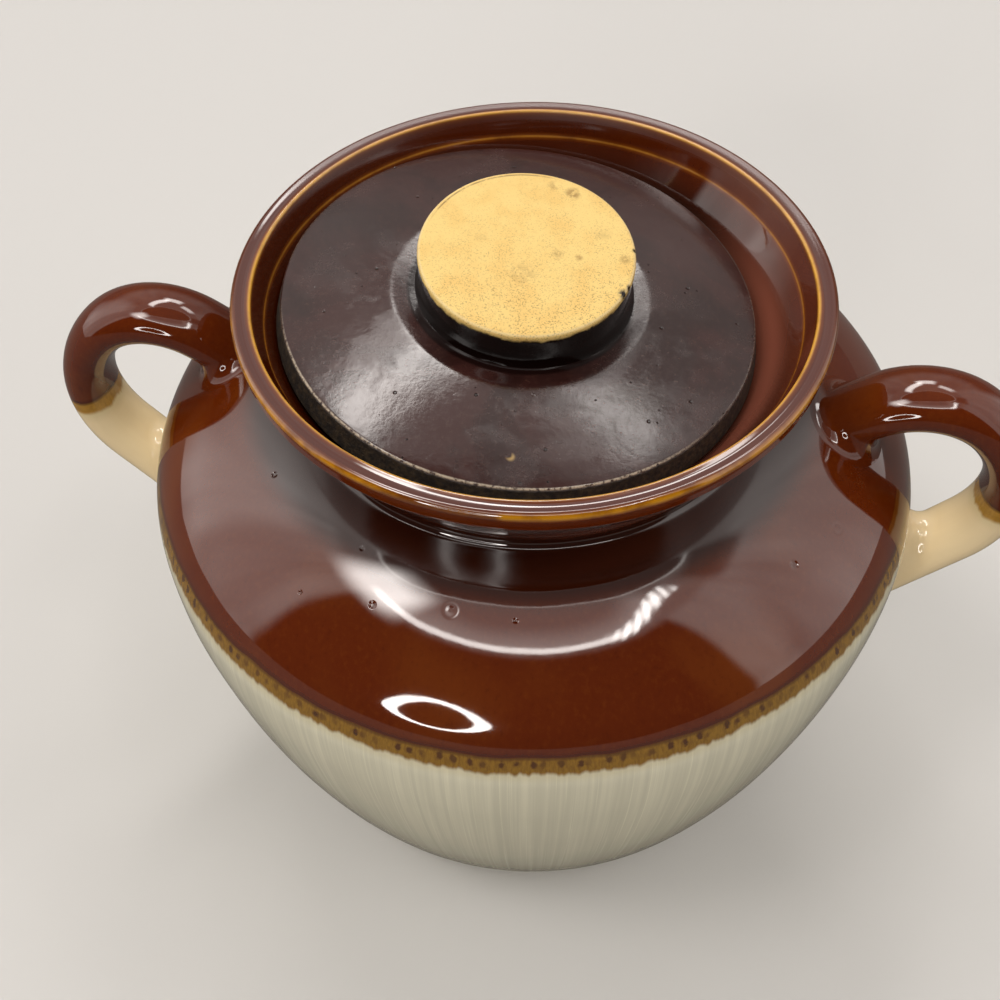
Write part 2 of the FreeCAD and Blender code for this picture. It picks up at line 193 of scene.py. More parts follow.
def jar_profile():
    """From the axis under the foot, round the outside, over the lip and down the inside."""
    up = Profile(BELLY_RADIUS, BELLY_HEIGHT, 90).smooth(25, 130, 1).smooth(64, 147.9, 1)
    up.bend(2.5, 14, -1).cove_then_line(1.8, 69.3, 168.6, -1)
    up.line(70.5, 169.8).line(LIP_RADIUS, RIM_HEIGHT - LIP_ROUND)
    up.arc(LIP_ROUND, LIP_RADIUS - LIP_ROUND, RIM_HEIGHT, 1)
    up.arc(3.6, LIP_INNER_RADIUS + LIP_INNER_ROUND, RIM_HEIGHT, -1)
    up.arc(LIP_INNER_ROUND, LIP_INNER_RADIUS, RIM_HEIGHT - LIP_INNER_ROUND, 1)
    up.line(seat_radius(SEAT_TOP), SEAT_TOP)
    up.arc(SEAT_RADIUS, seat_radius(SEAT_BOTTOM), SEAT_BOTTOM, -1)
    up.arc(4, THROAT_RADIUS, THROAT_HEIGHT, 1)

    inside_up = Profile(INSIDE_RADIUS, BELLY_HEIGHT, 90).smooth(17.5, 124.7, 1).smooth(56.5, 141, 1)
    inside_up.cove_then_line(6, THROAT_RADIUS, THROAT_HEIGHT, -1)
    inside_down = Profile(INSIDE_RADIUS, BELLY_HEIGHT, -90).smooth(180, 33, -1).smooth(40, 13, -1)
    inside_down.line(40, 9).line(0, 9)

    down = Profile(BELLY_RADIUS, BELLY_HEIGHT, -90)
    down.smooth(130, 95.5, -1).smooth(310, 26, -1).smooth(60, 4.5, -1)
    down.line(FOOT_RADIUS, 3).line(FOOT_RADIUS, 1.5).arc(1.5, FOOT_RADIUS - 1.5, 0, -1)
    down.line(56, 0).line(53, FOOT_RECESS).line(0, FOOT_RECESS)

    whole = Profile(0, FOOT_RECESS)
    whole.points = down.points[::-1] + up.points[1:] + inside_up.points[-2::-1] + inside_down.points[1:]
    return whole


def lid_profile():
    """From the axis underneath, round the seat edge and over the crown to the knob's land."""
    edge = Profile(0, 2.5).line(46, 2.5).line(50, 0)
    edge.line(LID_RADIUS - 0.7, 0).arc(0.7, LID_RADIUS, 0.7, 1)
    edge.line(57, LID_EDGE_HEIGHT - 0.7).arc(0.7, 56.3, LID_EDGE_HEIGHT, 1)
    edge.arc(260, 31.6, 10.85, 1).cove_then_line(8, 26.8, LID_LAND_HEIGHT, 1)
    return edge.line(0, LID_LAND_HEIGHT)


def knob_profile():
    """From the axis inside the lid, out and up the flared wall and over the flat top."""
    wall = Profile(0, -KNOB_SUNK).line(KNOB_FOOT_RADIUS, -KNOB_SUNK).line(KNOB_FOOT_RADIUS, 0)
    wall.arc(9, 25, 4.4, -1).line(KNOB_RADIUS, KNOB_HEIGHT - KNOB_ROUND)
    wall.arc(KNOB_ROUND, KNOB_RADIUS - KNOB_ROUND, KNOB_HEIGHT, 1)
    return wall.line(0, KNOB_HEIGHT)


# ---- meshes ----------------------------------------------------------------------------------

def turned(name, points, segments, inside_from=None):
    """A lathe mesh of quads with a fan at each pole, in millimetres.

    Faces past the point inside_from of the profile take the second material.
    """
    mesh = bmesh.new()
    rings = []
    for radius, height in points:
        if radius < 1e-6:
            rings.append([mesh.verts.new((0, 0, height))])
            continue
        ring = []
        for i in range(segments):
            angle = math.tau * i / segments
            ring.append(mesh.verts.new((radius * math.cos(angle), radius * math.sin(angle), height)))
        rings.append(ring)
    for low, high in zip(rings, rings[1:]):
        for i in range(segments):
            j = (i + 1) % segments
            if len(low) == 1:
                mesh.faces.new((low[0], high[j], high[i]))
            elif len(high) == 1:
                mesh.faces.new((low[i], low[j], high[0]))
            else:
                mesh.faces.new((low[i], low[j], high[j], high[i]))
    data = bpy.data.meshes.new(name)
    mesh.to_mesh(data)
    mesh.free()
    count = len(data.polygons)
    data.polygons.foreach_set("use_smooth", [True] * count)
    if inside_from is not None:
        first_inside = inside_from * segments
        data.polygons.foreach_set("material_index", [int(i >= first_inside) for i in range(count)])
    piece = bpy.data.objects.new(name, data)
    bpy.context.scene.collection.objects.link(piece)
    return piece


def rough_out(piece, depth, grain, seed, calm=lambda point: 1.0):
    """Presses the skin in by up to a depth, in soft hand-made undulations.

    depth and grain, the size of one undulation, are in millimetres. calm gives the share of the
    depth that a point takes.
    """
    drift = Vector((seed, 2 * seed, -seed))
    mesh = piece.data
    places = np.empty(len(mesh.vertices) * 3)
    mesh.vertices.foreach_get("co", places)
    places = places.reshape(-1, 3)
    normals = np.array([normal.vector for normal in mesh.vertex_normals])
    for i, place in enumerate(places.copy()):
        point = Vector(place)
        here = point / grain + drift
        swell = 0.5 + 0.35 * noise.noise(here) + 0.15 * noise.noise(here * 2.3)
        places[i] -= normals[i] * (depth * swell * calm(point))
    mesh.vertices.foreach_set("co", places.ravel())
    mesh.update()


def away_from_handles(point):
    """0 within 24 mm of the middle of a handle's roots, seen from above, and 1 from 44 mm on."""
    off = math.hypot(abs(point.x) - HANDLE_ROOT_RADIUS, point.y)
    return min(1.0, max(0.0, (off - 24) / (44 - 24)))


def seat_down(piece, turn, foot):
    """Leans a piece, sets its foot where it stands, and goes over to metres."""
    piece.data.transform(Matrix.Scale(MM, 4) @ Matrix.LocRotScale(foot, turn, None))


def lean(front, right):
    to_right = Euler((0, math.radians(right), 0)).to_matrix()
    return to_right @ Euler((math.radians(front), 0, 0)).to_matrix()


LID_TURN = lean(LID_LEAN_FRONT, LID_LEAN_RIGHT)
LID_FOOT = Vector((0, 0, SEAT_CENTRE_HEIGHT)) - LID_TURN @ Vector((0, 0, LID_SEAT_CENTRE))
KNOB_TURN = lean(LID_LEAN_FRONT + KNOB_LEAN_FRONT, LID_LEAN_RIGHT - KNOB_LEAN_LEFT)
KNOB_FOOT = LID_FOOT + LID_TURN @ Vector((*KNOB_SHIFT, LID_LAND_HEIGHT))

jar_outline = jar_profile().settled()
# the inside's own glaze begins at the throat
throat = next(i for i, (radius, height) in enumerate(jar_outline)
              if radius < THROAT_RADIUS + 0.4 and height > BELLY_HEIGHT)
jar = turned("jar", jar_outline, segments=320, inside_from=throat)
rough_out(jar, depth=0.16, grain=26, seed=3.1, calm=away_from_handles)
seat_down(jar, Matrix.Identity(3), Vector())
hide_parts("pot_body")
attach(jar, "pot")

lid = turned("lid_disc", lid_profile().settled(), segments=256)
rough_out(lid, depth=0.12, grain=17, seed=7.7)
seat_down(lid, LID_TURN, LID_FOOT)
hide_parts("lid")
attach(lid, "lid")

knob = turned("knob", knob_profile().settled(), segments=192)
rough_out(knob, depth=0.12, grain=9, seed=12.9)
seat_down(knob, KNOB_TURN, KNOB_FOOT)
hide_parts("lid_knob")
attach(knob, "lid")


# ---- node helpers ----------------------------------------------------------------------------

class Nodes:
    """Short names for the shader nodes that the finishes use. Positions are in metres."""

    def __init__(self, tree):
        self.tree = tree
        tree.nodes.clear()

    def new(self, kind, **settings):
        node = self.tree.nodes.new(kind)
        for key, value in settings.items():
            setattr(node, key, value)
        return node

    def feed(self, socket, value):
        if isinstance(value, bpy.types.NodeSocket):
            self.tree.links.new(value, socket)
        elif isinstance(value, tuple) and len(value) == 3 and len(socket.default_value) == 4:
            socket.default_value = (*value, 1.0)
        else:
            socket.default_value = value

    def finish(self, kind, shader):
        """The output of a material or a world."""
        self.tree.links.new(shader.outputs[0], self.new(kind).inputs["Surface"])

    def math(self, operation, *values):
        node = self.new("ShaderNodeMath", operation=operation)
        for socket, value in zip(node.inputs, values):
            self.feed(socket, value)
        return node.outputs[0]

    def add(self, a, b):
        return self.math("ADD", a, b)

    def sub(self, a, b):
        return self.math("SUBTRACT", a, b)

    def mul(self, a, b):
        return self.math("MULTIPLY", a, b)

    def most(self, a, b):
        return self.math("MAXIMUM", a, b)

    def length(self, a, b):
        return self.math("SQRT", self.add(self.mul(a, a), self.mul(b, b)))

    def step(self, value, low, high, to_low=0.0, to_high=1.0, kind="SMOOTHSTEP"):
        """to_low up to the mark low, to_high from the mark high on, and smooth between them."""
        node = self.new("ShaderNodeMapRange", interpolation_type=kind)
        for name, number in (("Value", value), ("From Min", low), ("From Max", high),
                             ("To Min", to_low), ("To Max", to_high)):
            self.feed(node.inputs[name], number)
        return node.outputs["Result"]

    def ramp(self, value, low, high, to_low=0.0, to_high=1.0):
        """A step that is straight between its marks."""
        return self.step(value, low, high, to_low, to_high, "LINEAR")

    def rise(self, value, low, high, full=1.0):
        return self.step(value, low, high, 0.0, full)

    def fall(self, value, low, high, full=1.0, rest=0.0):
        return self.step(value, low, high, full, rest)

    def patch(self, value, low, full_low, full_high, high, full=1.0, rest=0.0):
        """0 below the outer marks, full between the inner ones and rest above, smooth between."""
        return self.mul(self.rise(value, low, full_low), self.fall(value, full_high, high, full, rest))

    def waver(self, pattern, reach):
        """A noise pattern as a number between minus and plus a reach."""
        return self.ramp(pattern, 0.3, 0.7, -reach, reach)

    def mix(self, factor, a, b):
        node = self.new("ShaderNodeMix", data_type="RGBA")
        self.feed(node.inputs["Factor"], factor)
        self.feed(node.inputs["A"], a)
        self.feed(node.inputs["B"], b)
        return node.outputs["Result"]

    def between(self, factor, a, b):
        """A number from a to b."""
        node = self.new("ShaderNodeMix", data_type="FLOAT")
        self.feed(node.inputs["Factor"], factor)
        self.feed(node.inputs["A"], a)
        self.feed(node.inputs["B"], b)
        return node.outputs["Result"]

    def split(self, vector):
        node = self.new("ShaderNodeSeparateXYZ")
        self.feed(node.inputs[0], vector)
        return node.outputs[0], node.outputs[1], node.outputs[2]

    def join(self, x, y, z):
        node = self.new("ShaderNodeCombineXYZ")
        for socket, value in zip(node.inputs, (x, y, z)):
            self.feed(socket, value)
        return node.outputs[0]

    def noise(self, vector, scale, detail=2.0, rough=0.5, distort=0.0):
        node = self.new("ShaderNodeTexNoise")
        for name, value in (("Vector", vector), ("Scale", scale), ("Detail", detail),
                            ("Roughness", rough), ("Distortion", distort)):
            self.feed(node.inputs[name], value)
        return node.outputs["Fac"]

    def dots(self, vector, scale, inner, outer, chosen):
        """A dot, 1 up to inner and 0 from outer on, in the cells whose random number is past chosen.

        chosen is two marks between 0 and 1, so that about its share of the cells stays empty.
        """
        node = self.new("ShaderNodeTexVoronoi")
        self.feed(node.inputs["Vector"], vector)
        self.feed(node.inputs["Scale"], scale)
        dot = self.fall(node.outputs["Distance"], inner, outer)
        return self.mul(dot, self.rise(self.split(node.outputs["Color"])[0], *chosen))

    def near(self, x, y, at_x, at_y, reach):
        """1 at a point of the plane of x and y, falling to 0 at a reach from it."""
        return self.fall(self.length(self.sub(x, at_x), self.sub(y, at_y)), 0.0, reach)

    def spot(self, here, point, reach):
        """1 at a point in millimetres, falling to 0 at a reach from it."""
        node = self.new("ShaderNodeVectorMath", operation="DISTANCE")
        self.feed(node.inputs[0], here)
        node.inputs[1].default_value = mm(*point)
        return self.fall(node.outputs["Value"], *mm(0.25 * reach, reach))

    def bump(self, height):
        """The normal of a relief in metres."""
        node = self.new("ShaderNodeBump")
        self.feed(node.inputs["Strength"], 1.0)
        self.feed(node.inputs["Distance"], 1.0)
        self.feed(node.inputs["Height"], height)
        return node.outputs["Normal"]

    def surface(self, color, roughness, normal, ior):
        shader = self.new("ShaderNodeBsdfPrincipled")
        self.feed(shader.inputs["Base Color"], color)
        self.feed(shader.inputs["Roughness"], roughness)
        self.feed(shader.inputs["Normal"], normal)
        shader.inputs["IOR"].default_value = ior
        self.finish("ShaderNodeOutputMaterial", shader)


class Place:
    """Where a shading point is: in the row's frame, or in the own frame of a piece that leans."""

    def __init__(self, n, turn=None, foot=None):
        self.here = n.new("ShaderNodeTexCoord").outputs["Object"]
        if turn is not None:
            back = turn.transposed()
            mapped = n.new("ShaderNodeMapping")
            n.feed(mapped.inputs["Vector"], self.here)
            mapped.inputs["Rotation"].default_value = back.to_euler()
            mapped.inputs["Location"].default_value = back @ foot * -MM
            self.here = mapped.outputs[0]
        self.x, self.y, self.z = n.split(self.here)
        self.radius = n.length(self.x, self.y)
        self.angle = n.math("ARCTAN2", self.y, self.x)


def material(name):
    made = bpy.data.materials.new(name)
    made.use_nodes = True
    return made, Nodes(made.node_tree)


def dress(piece, *materials):
    """Gives a piece its materials. Each face keeps its own, though clearing the old ones loses it."""
    mesh = piece.data
    chosen = [0] * len(mesh.polygons)
    mesh.polygons.foreach_get("material_index", chosen)
    mesh.materials.clear()
    for one in materials:
        mesh.materials.append(one)
    if len(materials) > 1:
        mesh.polygons.foreach_set("material_index", chosen)


def shaded(color, share):
    """A colour made darker or lighter."""
    return tuple(min(1.0, share * part) for part in color)


# ---- the glazes of the pot -------------------------------------------------------------------

GLAZE_IOR = 1.8
HANDLE_IOR = 1.6            # the handles' glaze is thinner and less glassy
BROWN = (0.100, 0.0145, 0.0014)
BROWN_WARM = (0.138, 0.029, 0.0032)
BROWN_DEEP = (0.060, 0.0085, 0.0012)
# painted shade: this dark brown darkens the neck under the collar in place of the collar's shade
BROWN_PAINTED_SHADE = (0.020, 0.0035, 0.0008)
BROWN_DISH = (0.070, 0.010, 0.0030)
AMBER = (0.27, 0.070, 0.006)
GOLD = (0.72, 0.37, 0.045)
LIP_GOLD = (0.50, 0.215, 0.004)
SEAT_GOLD = (0.42, 0.17, 0.02)
# painted reflection: a pale mauve red standing in for light that the lid reflects onto the seat's lower
# right
SEAT_PAINTED_REFLECTION = (0.25, 0.075, 0.045)
OCHRE = (0.275, 0.141, 0.0115)
HANDLE_OCHRE = (0.45, 0.235, 0.03)
OCHRE_DARK = (0.158, 0.069, 0.0055)
OCHRE_SPOT = (0.070, 0.021, 0.003)
CREAM = (0.78, 0.745, 0.57)
HANDLE_CREAM = (0.87, 0.70, 0.43)
CREAM_UNDER_BAND = (0.60, 0.50, 0.26)
BISQUE = (0.56, 0.44, 0.29)

DIP_HEIGHT = 123.0              # in millimetres: where the brown glaze ends
DIP_RADIUS = 98.5               # of the belly there
BAND_WIDTH = 4.7                # of the ochre band under it
HANDLE_BAND_WIDTH = 4.2
SPOTS_PER_MM = 0.29             # along the band

LIP_INNER_ARRIS = (66.25, 174.8)    # radius and height of the arrises where the glaze runs thin
LIP_OUTER_ARRIS = (70.85, 174.2)
SEAT_ARRIS = (63.9, SEAT_TOP)
GLAZE_PITS = (                  # point and reach
    ((-55.0, -43.5, 144.6), 1.0),
    ((-42.3, -71.2, 138.2), 0.7),
    ((67.7, -46.3, 138.7), 1.4),
    ((-24.7, -73.9, 141.2), 1.1),
    ((7.6, -74.2, 142.9), 0.8),
    ((-29.4, -62.0, 145.3), 0.7),
)
GLAZE_BLISTERS = (              # healed over: point and reach
    ((-6.9, -73.9, 143.1), 2.3),
    ((77.5, -33.0, 137.0), 2.0),
)


def brown_glaze(n, here):
    """Even red brown with a fine fleck, drawn out downwards, and slow warm clouds."""
    x, y, z = n.split(here)
    fleck = n.noise(n.join(x, y, n.mul(z, 0.45)), 750, detail=4, rough=0.65)
    cloud = n.noise(here, 34, distort=0.3)
    color = n.mix(n.rise(cloud, 0.42, 0.72, 0.75), BROWN, BROWN_WARM)
    color = n.mix(n.rise(fleck, 0.48, 0.75, 0.45), color, BROWN_WARM)
    return n.mix(n.fall(fleck, 0.25, 0.45, 0.4), color, BROWN_DEEP)


def thin_at_lip(n, color, at):
    """Gold where the glaze runs thin over an arris, through amber to brown."""
    patchy = n.noise(at.here, 150, detail=3, rough=0.6)
    # the outer arris has little gold for a stretch at the front, and hardly any towards the back
    bare = n.patch(at.angle, -1.92, -1.80, -1.535, -1.50)
    kept = n.mul(n.step(patchy, 0.30, 0.62, 0.35, 1.0), n.sub(1.0, n.mul(bare, 0.8)))
    kept = n.mul(kept, n.fall(at.y, *mm(-35, -8), 1.0, 0.12))
    for arris, core, halo, gold, share in (
        (LIP_INNER_ARRIS, 0.78, 1.6, GOLD, n.step(patchy, 0.25, 0.6, 0.6, 1.0)),
        (LIP_OUTER_ARRIS, 1.25, 1.9, LIP_GOLD, kept),
        (SEAT_ARRIS, 0.45, 1.3, SEAT_GOLD, n.step(patchy, 0.2, 0.6, 0.4, 1.0)),
    ):
        amber = n.near(at.radius, at.z, *mm(*arris, halo))
        color = n.mix(n.mul(amber, n.mul(share, 0.65)), color, AMBER)
        color = n.mix(n.mul(n.near(at.radius, at.z, *mm(*arris, core)), share), color, gold)
    return color


def pits(n, here):
    """1 at the middle of each glaze pit, and less in the ring round each healed blister."""
    depth = 0.0
    for point, reach in GLAZE_PITS:
        depth = n.most(depth, n.spot(here, point, reach))
    for point, reach in GLAZE_BLISTERS:
        ring = n.sub(n.spot(here, point, reach), n.spot(here, point, 0.72 * reach))
        depth = n.most(depth, n.mul(ring, 0.35))
    return depth


def glaze_skin(n, here, pitted=0.0):
    """Almost flat: a slow waver, a very fine orange peel, and the pits."""
    waver = n.mul(n.noise(here, 60, detail=1), 0.05 * MM)
    peel = n.mul(n.noise(here, 520), 0.0025 * MM)
    return n.bump(n.sub(n.add(waver, peel), n.mul(pitted, 0.25 * MM)))


def brown_on_pot(n, at, height, pitted):
    """The brown glaze where it lies: dark where it is thick at the dip line, gold where it is thin, with
    painted shade under the collar and on the seat's left, and a painted reflection on the seat's lower
    right.
    """
    brown = brown_glaze(n, at.here)
    brown = n.mix(n.fall(height, *mm(DIP_HEIGHT + 0.3, DIP_HEIGHT + 1.6), 0.75), brown, BROWN_DEEP)
    brown = n.mix(n.mul(pitted, 0.6), brown, BROWN_DEEP)
    # painted shade under the collar, fading up into the seat and the lip
    painted_shade_under_collar = n.mul(n.fall(at.radius, *mm(68, 75), 0.92), n.fall(at.z, *mm(160, 170), 1.0, 0.2))
    brown = n.mix(painted_shade_under_collar, brown, BROWN_PAINTED_SHADE)
    dish = n.patch(at.radius, *mm(66.8, 67.6, 69.2, 70.2), 0.7)
    brown = n.mix(n.mul(dish, n.rise(at.z, *mm(171, 173))), brown, BROWN_DISH)
    seat = n.mul(n.fall(at.radius, *mm(65.5, 66.1)), n.rise(at.z, *mm(150, 153)))
    # painted shade: the seat is darkened on its left and at the back
    brown = n.mix(n.mul(seat, n.fall(at.x, *mm(-10, 30), 0.6)), brown, BROWN_DEEP)
    # painted reflection on the seat's lower right
    painted_reflection_place = n.mul(n.rise(n.sub(at.x, n.mul(at.y, 0.35)), *mm(15, 55)),
                      n.fall(at.z, *mm(158.5, 165.5), 1.0, 0.25))
    brown = n.mix(n.mul(seat, n.mul(painted_reflection_place, 0.85)), brown, SEAT_PAINTED_REFLECTION)
    return thin_at_lip(n, brown, at)


def unrolled(n, at, per_mm, per_metre, page=0.0):
    """The wall laid flat: how often a pattern changes along the band, and how often up the wall."""
    return n.join(n.mul(n.mul(at.angle, DIP_RADIUS), per_mm), n.mul(at.z, per_metre), page)


def band_spots(n, at, height, band):
    """A row of uneven brown spots along the ochre band, each between 0 and 1."""
    row = n.new("ShaderNodeTexVoronoi", voronoi_dimensions="1D")
    n.feed(row.inputs["W"], n.mul(n.mul(at.angle, DIP_RADIUS), SPOTS_PER_MM))
    n.feed(row.inputs["Scale"], 1.0)
    n.feed(row.inputs["Randomness"], 0.7)
    depth, lift, _ = n.split(row.outputs["Color"])
    along = n.mul(row.outputs["Distance"], 1 / SPOTS_PER_MM)
    middle = n.add((DIP_HEIGHT - 0.38 * band) * MM, n.ramp(lift, 0.0, 1.0, *mm(-0.4, 0.4)))
    across = n.mul(n.sub(height, middle), 1 / (0.28 * band * MM))
    off = n.length(along, across)
    off = n.add(off, n.waver(n.noise(at.here, 620, detail=3, rough=0.6), 0.35))
    return n.mul(n.fall(off, 0.35, 1.1), n.ramp(depth, 0.0, 0.7, 0.35, 0.95))


def ochre_band(n, at, height, tone, band, marks_and_painted_streaks):
    """Ochre with a fine grain across it, darker along its upper edge, with its spots."""
    grain = n.noise(unrolled(n, at, 1.6, 420), 1.0, detail=3, rough=0.6)
    ochre = n.mix(n.rise(grain, 0.36, 0.66, 0.25 + 0.4 * marks_and_painted_streaks), tone, OCHRE_DARK)
    ochre = n.mix(n.rise(height, *mm(DIP_HEIGHT - 1.1, DIP_HEIGHT - 0.2), 0.7), ochre, OCHRE_SPOT)
    return n.mix(n.mul(band_spots(n, at, height, band), marks_and_painted_streaks), ochre, OCHRE_SPOT)


def cream_with_painted_streaks(n, at, height, cream, band, marks_and_painted_streaks):
    """Cream with painted reflection streaks, light and dark, standing in for a striped mat mirrored down the
    wall, and warmer close under the band.
    """
    # painted reflection: light and dark streaks down the cream stand in for a striped mat mirrored in the
    # glaze
    mat_reflection_streak = n.noise(unrolled(n, at, 0.62, 7), 1.0, detail=3, rough=0.55, distort=0.1)
    pale = n.mix(n.rise(mat_reflection_streak, 0.38, 0.66, 0.30 * marks_and_painted_streaks), cream, shaded(cream, 0.72))
    pale = n.mix(n.fall(mat_reflection_streak, 0.30, 0.48, 0.22 * marks_and_painted_streaks), pale, shaded(cream, 1.25))
    fine_reflection_streaks = n.noise(unrolled(n, at, 1.7, 9, page=5.0), 1.0, detail=3, rough=0.6, distort=0.2)
    pale = n.mix(n.rise(fine_reflection_streaks, 0.54, 0.68, 0.45 * marks_and_painted_streaks), pale, shaded(cream, 1.3))
    under_band = n.rise(height, *mm(DIP_HEIGHT - band - 4, DIP_HEIGHT - band), 0.4)
    return n.mix(under_band, pale, CREAM_UNDER_BAND)


def thin_glaze(n, at):
    """Where the glaze went on thin and is a little dull: under the collar, and the lip's back."""
    flare = n.sub(at.radius, n.mul(n.sub(at.z, 152 * MM), 0.444))
    neck = n.patch(flare, *mm(60, 61, 69.5, 71))
    neck = n.mul(neck, n.patch(at.z, *mm(144.5, 146, 168, 170)))
    lip_back = n.mul(n.rise(at.z, *mm(171.5, 173)), n.rise(at.y, *mm(10, 40)))
    lip_back = n.mul(lip_back, n.rise(at.radius, *mm(64.5, 65.5)))
    return n.most(n.mul(neck, 0.30), lip_back)


def pot_glaze(name, cream, ochre, band, marks_and_painted_streaks, ior):
    """Brown above the dip line, an ochre band under it, cream below, and a bare foot.

    band is the ochre band's width in millimetres; the argument after it sets how strongly the band's spots
    and the cream's painted reflection streaks show.
    """
    made, n = material(name)
    at = Place(n)
    ragged = n.noise(at.here, 380, rough=0.6)
    height = n.add(at.z, n.waver(n.noise(at.here, 85), 0.35 * MM))
    pitted = pits(n, at.here)

    around = n.mul(n.mul(at.angle, DIP_RADIUS), 0.35)
    sag = n.step(n.noise(n.join(around, 0.0, 0.0), 1.0), 0.3, 0.7, *mm(-0.6, 0.6))
    under_band = n.rise(n.add(height, sag), *mm(DIP_HEIGHT - band - 0.9, DIP_HEIGHT - band + 0.7))
    pale = cream_with_painted_streaks(n, at, height, cream, band, marks_and_painted_streaks)
    color = n.mix(under_band, pale, ochre_band(n, at, height, ochre, band, marks_and_painted_streaks))
    dipped = n.rise(height, *mm(DIP_HEIGHT - 0.3, DIP_HEIGHT + 0.3))
    color = n.mix(dipped, color, brown_on_pot(n, at, height, pitted))
    bare = n.fall(n.add(at.z, n.mul(ragged, 0.8 * MM)), *mm(3.0, 3.6))
    color = n.mix(bare, color, BISQUE)

    rough = n.between(bare, n.ramp(ragged, 0.3, 0.8, 0.035, 0.065), 0.85)
    rough = n.between(thin_glaze(n, at), rough, 0.36)
    n.surface(color, rough, glaze_skin(n, at.here, pitted), ior)
    return made


def inside_glaze():
    """The plain brown glaze of the jar's inside."""
    made, n = material("inside_glaze")
    here = Place(n).here
    n.surface(brown_glaze(n, here), 0.05, glaze_skin(n, here), GLAZE_IOR)
    return made


# ---- the glaze of the lid --------------------------------------------------------------------

LID_IOR = 1.6
LID_BROWN = (0.043, 0.0150, 0.0125)
LID_DULL = (0.024, 0.0085, 0.0070)
LID_FLECK = (0.075, 0.036, 0.024)
LID_UNDER_KNOB = (0.008, 0.003, 0.0025)
LID_PINHOLE = (0.008, 0.003, 0.002)
LID_EDGE_DARK = (0.010, 0.0065, 0.003)
LID_EDGE_PALE = (0.050, 0.033, 0.014)
LID_WORN = (0.62, 0.52, 0.38)
LID_CHIP = (0.42, 0.28, 0.10)
LID_ARRIS = (56.7, 6.68)        # radius and height, in the lid's own frame


def worn_arris(n, at):
    """A broken pale line along the arris: clear from the left to the front, and faint from there on."""
    line = n.near(at.radius, at.z, *mm(*LID_ARRIS, 0.5))
    worn = n.mul(line, n.rise(n.noise(at.here, 900, detail=4, rough=0.7), 0.36, 0.56))
    return n.mul(worn, n.patch(at.angle, -2.95, -2.4, -1.0, -0.5, 1.0, 0.12))


def pinholes(n, here):
    """Two sizes of pinhole. Four cells in five have none."""
    large = n.dots(here, 230, 0.04, 0.13, chosen=(0.80, 0.82))
    small = n.dots(here, 410, 0.04, 0.13, chosen=(0.80, 0.82))
    return n.most(large, small)


def lid_glaze():
    """A satin, nearly black brown, pinholed, with a rough bare edge that shows at the arris."""
    made, n = material("lid_glaze")
    at = Place(n, LID_TURN, LID_FOOT)
    grain = n.noise(at.here, 900, detail=4, rough=0.7)
    cloud = n.noise(at.here, 42, detail=4, rough=0.6, distort=0.6)
    holes = pinholes(n, at.here)
    under_knob = n.fall(at.radius, *mm(26.6, 27.6))     # the knob's darker glaze runs out to here
    bare = n.fall(n.add(at.z, n.mul(grain, 1.2 * MM)), *mm(6.6, 7.1))
    edge = n.mix(n.rise(n.noise(at.here, 650, detail=5, rough=0.7), 0.4, 0.65), LID_EDGE_DARK, LID_EDGE_PALE)
    chip = n.spot(at.here, (5.6, -49.0, 8.4), 1.3)
    chip = n.sub(chip, n.mul(n.spot(at.here, (5.2, -48.7, 8.5), 1.0), 1.2))

    color = n.mix(n.rise(cloud, 0.42, 0.66), LID_BROWN, LID_DULL)
    color = n.mix(n.rise(grain, 0.5, 0.8, 0.5), color, LID_FLECK)
    color = n.mix(n.mul(under_knob, 0.9), color, LID_UNDER_KNOB)
    color = n.mix(holes, color, LID_PINHOLE)
    color = n.mix(bare, color, edge)
    color = n.mix(worn_arris(n, at), color, LID_WORN)
    color = n.mix(n.most(chip, 0.0), color, LID_CHIP)

    relief = n.add(n.mul(n.noise(at.here, 70), 0.12 * MM), n.mul(grain, 0.02 * MM))
    relief = n.add(relief, n.mul(n.noise(at.here, 330, detail=3, rough=0.6), 0.022 * MM))
    relief = n.sub(relief, n.mul(holes, 0.22 * MM))
    relief = n.add(relief, n.mul(n.mul(bare, n.noise(at.here, 500, detail=4, rough=0.7)), 0.6 * MM))

    dull = n.rise(n.noise(at.here, 58, detail=5, rough=0.62, distort=0.5), 0.50, 0.64)
    rough = n.between(dull, n.ramp(cloud, 0.3, 0.7, 0.09, 0.13), 0.24)
    rough = n.add(rough, n.ramp(grain, 0.35, 0.65, 0.0, 0.05))
    rough = n.between(under_knob, rough, 0.08)
    n.surface(color, n.between(bare, rough, 0.7), n.bump(relief), LID_IOR)
    return made


# ---- the glaze of the knob -------------------------------------------------------------------

KNOB_IOR = 1.4
KNOB_BUFF = (0.83, 0.60, 0.210)
KNOB_BUFF_DEEP = (0.77, 0.50, 0.150)
KNOB_SPECK = (0.19, 0.095, 0.024)
KNOB_FRECKLE = (0.12, 0.05, 0.012)
KNOB_STAIN = (0.27, 0.135, 0.030)
KNOB_SCORE = (0.20, 0.11, 0.035)
KNOB_RIM = (0.92, 0.78, 0.48)
KNOB_WALL = (0.003, 0.0012, 0.0010)
KNOB_WALL_PALER = (0.007, 0.0025, 0.0016)
KNOB_SCORE_RADIUS = 24.0

